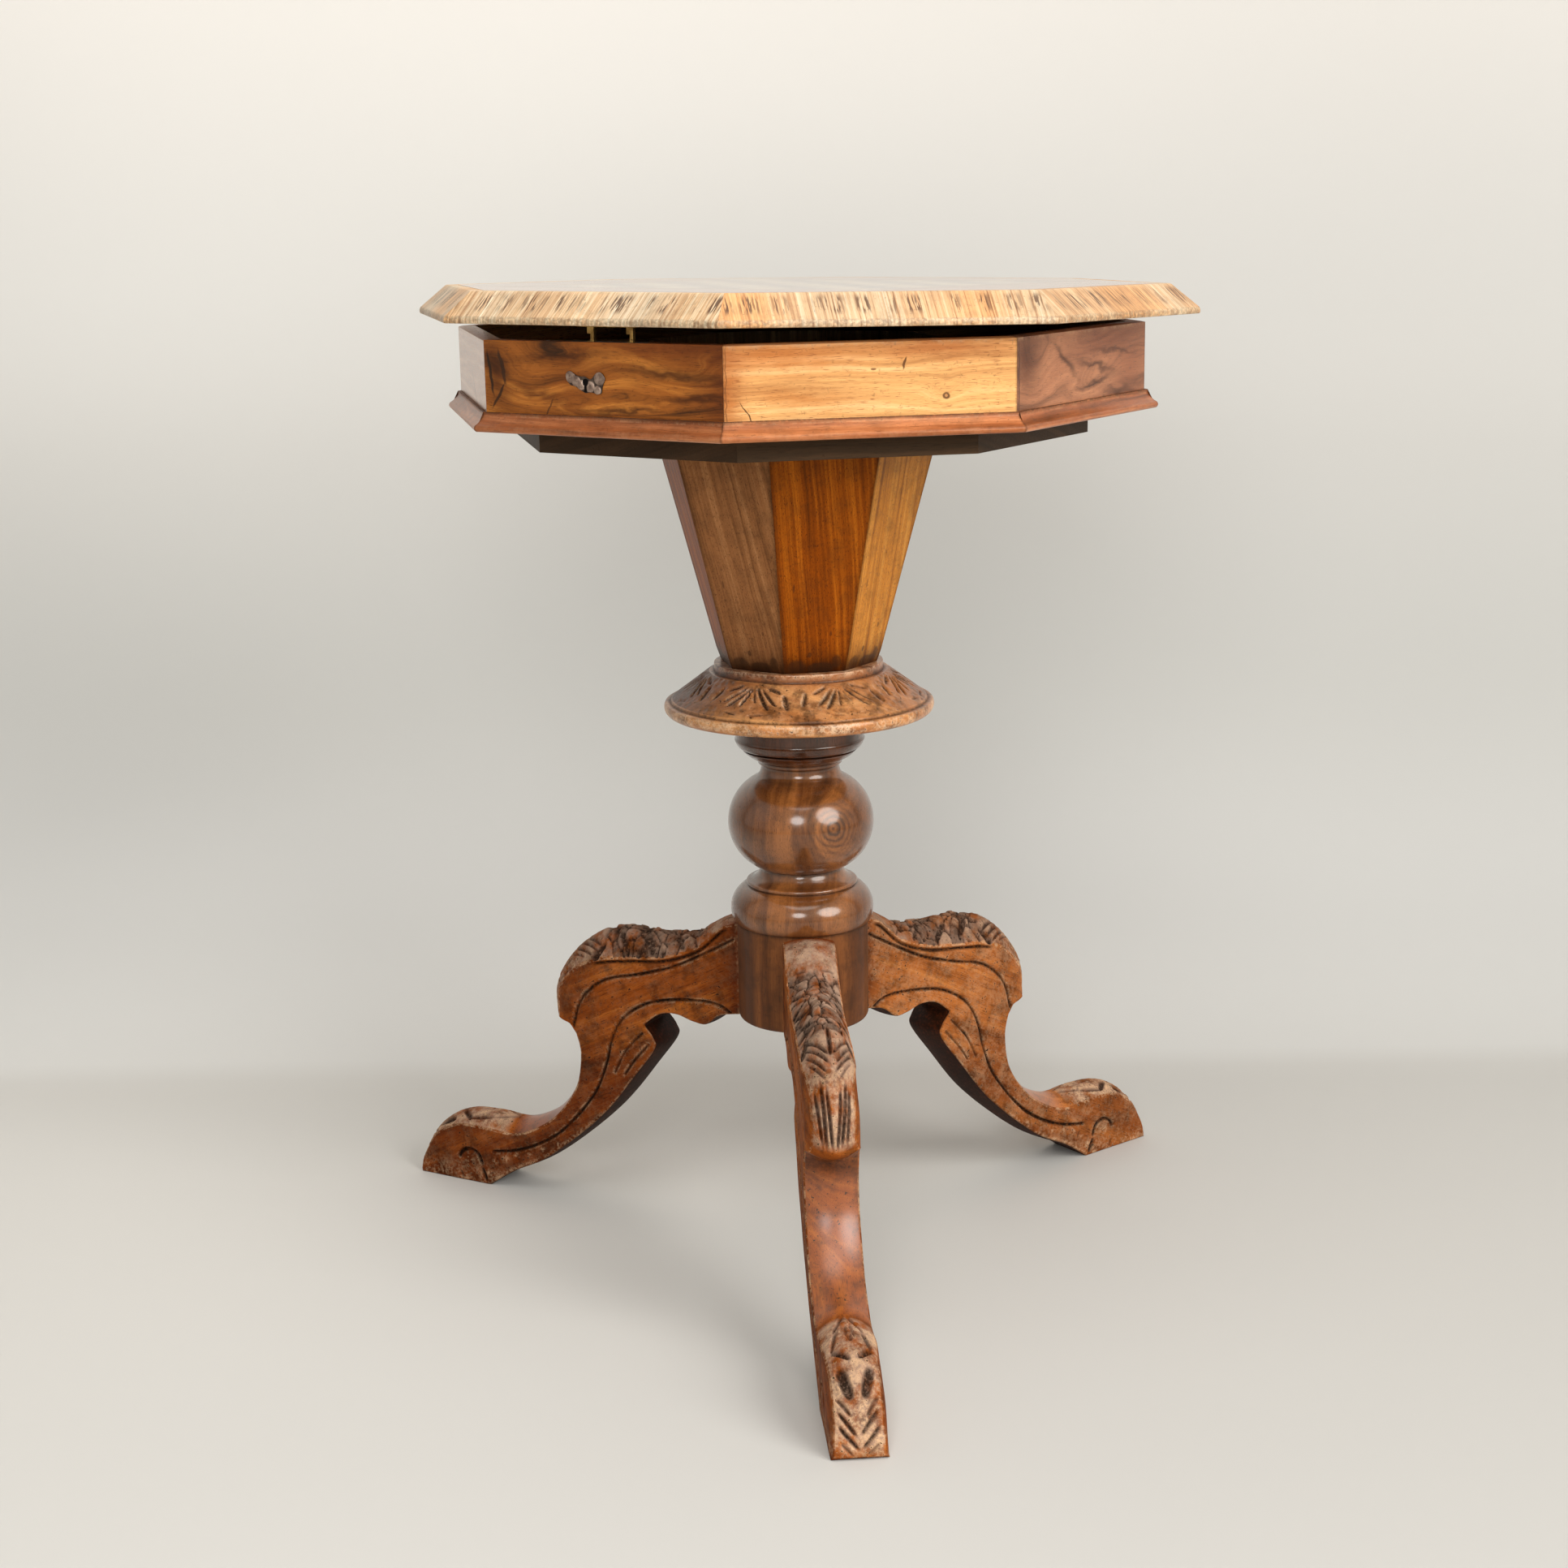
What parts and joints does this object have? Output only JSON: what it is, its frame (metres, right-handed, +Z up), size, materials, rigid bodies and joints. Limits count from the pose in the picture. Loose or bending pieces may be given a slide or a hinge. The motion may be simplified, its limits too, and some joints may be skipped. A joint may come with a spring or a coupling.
{
  "type": "games and work table",
  "caption": "Octagonal games and work table: hinged lid over a divided case, tapering trumpet well, carved collar, turned column and cabriole legs.",
  "frame": {"origin": "on the floor, under the middle of the whole table's footprint", "axes": "+Z up; -Y the way the lock panel faces; +X along the hinge line, to the right of someone facing the lock"},
  "size_m": [0.5908, 0.6072, 0.7009],
  "materials": {
    "walnut_panel": "figured walnut veneer, french polished",
    "walnut_moulding": "walnut, polished",
    "crossbanding": "straight-grained crossbanding, worn polish",
    "lid_walnut": "walnut veneer, french polished",
    "inlaid_board": "chequered inlay of light and dark veneer, polished",
    "lining_paper": "paper lining, matt",
    "dark_board": "stained, unpolished",
    "walnut_stave": "walnut veneer, polished",
    "inside_wood": "plain, unpolished",
    "carved_walnut": "carved, worn polish",
    "turned_walnut": "turned, polished",
    "hinge_brass": "dull",
    "tarnished_brass": "dark, tarnished",
    "lock_steel": "dull"
  },
  "bodies": {
    "carcase": {"frieze_panel_1": "walnut_panel", "frieze_panel_2": "walnut_panel", "frieze_panel_3": "walnut_panel", "frieze_panel_4": "walnut_panel", "frieze_panel_5": "walnut_panel", "frieze_panel_6": "walnut_panel", "frieze_panel_7": "walnut_panel", "frieze_panel_8": "walnut_panel", "base_moulding_1": "walnut_moulding", "base_moulding_2": "walnut_moulding", "base_moulding_3": "walnut_moulding", "base_moulding_4": "walnut_moulding", "base_moulding_5": "walnut_moulding", "base_moulding_6": "walnut_moulding", "base_moulding_7": "walnut_moulding", "base_moulding_8": "walnut_moulding", "underboard": "dark_board", "trumpet_stave_1": "walnut_stave", "trumpet_stave_2": "walnut_stave", "trumpet_stave_3": "walnut_stave", "trumpet_stave_4": "walnut_stave", "trumpet_stave_5": "walnut_stave", "trumpet_stave_6": "walnut_stave", "trumpet_stave_7": "walnut_stave", "trumpet_stave_8": "walnut_stave", "floor_board": "inside_wood", "well_floor": "inside_wood", "well_rim": "inside_wood", "partition_1": "inside_wood", "partition_2": "inside_wood", "partition_3": "inside_wood", "partition_4": "inside_wood", "partition_5": "inside_wood", "partition_6": "inside_wood", "partition_7": "inside_wood", "partition_8": "inside_wood", "carved_collar": "carved_walnut", "leg_1": "carved_walnut", "leg_2": "carved_walnut", "leg_3": "carved_walnut", "turned_column": "turned_walnut", "hinge_case_leaf_left": "hinge_brass", "hinge_case_leaf_right": "hinge_brass", "keyhole_escutcheon": "tarnished_brass", "lock_case": "lock_steel"},
    "lid": {"lid_band_1": "crossbanding", "lid_band_2": "crossbanding", "lid_band_3": "crossbanding", "lid_band_4": "crossbanding", "lid_band_5": "crossbanding", "lid_band_6": "crossbanding", "lid_band_7": "crossbanding", "lid_band_8": "crossbanding", "lid_core": "lid_walnut", "games_board": "inlaid_board", "lid_lining": "lining_paper", "hinge_lid_leaf_left": "hinge_brass", "hinge_lid_leaf_right": "hinge_brass", "link_plate": "hinge_brass"},
    "bolt": {"lock_bolt": "lock_steel"}
  },
  "joints": [
    {"name": "lid_hinge", "type": "hinge", "parent": "carcase", "child": "lid", "pos_m": [0.04494, 0.19918, 0.6713], "axis": [-1, 0, 0], "range_deg": [-1.13, 90.87]},
    {"name": "bolt_throw", "type": "slide", "parent": "carcase", "child": "bolt", "axis": [1, 0, 0], "range_m": [0, 0.006]}
  ]
}
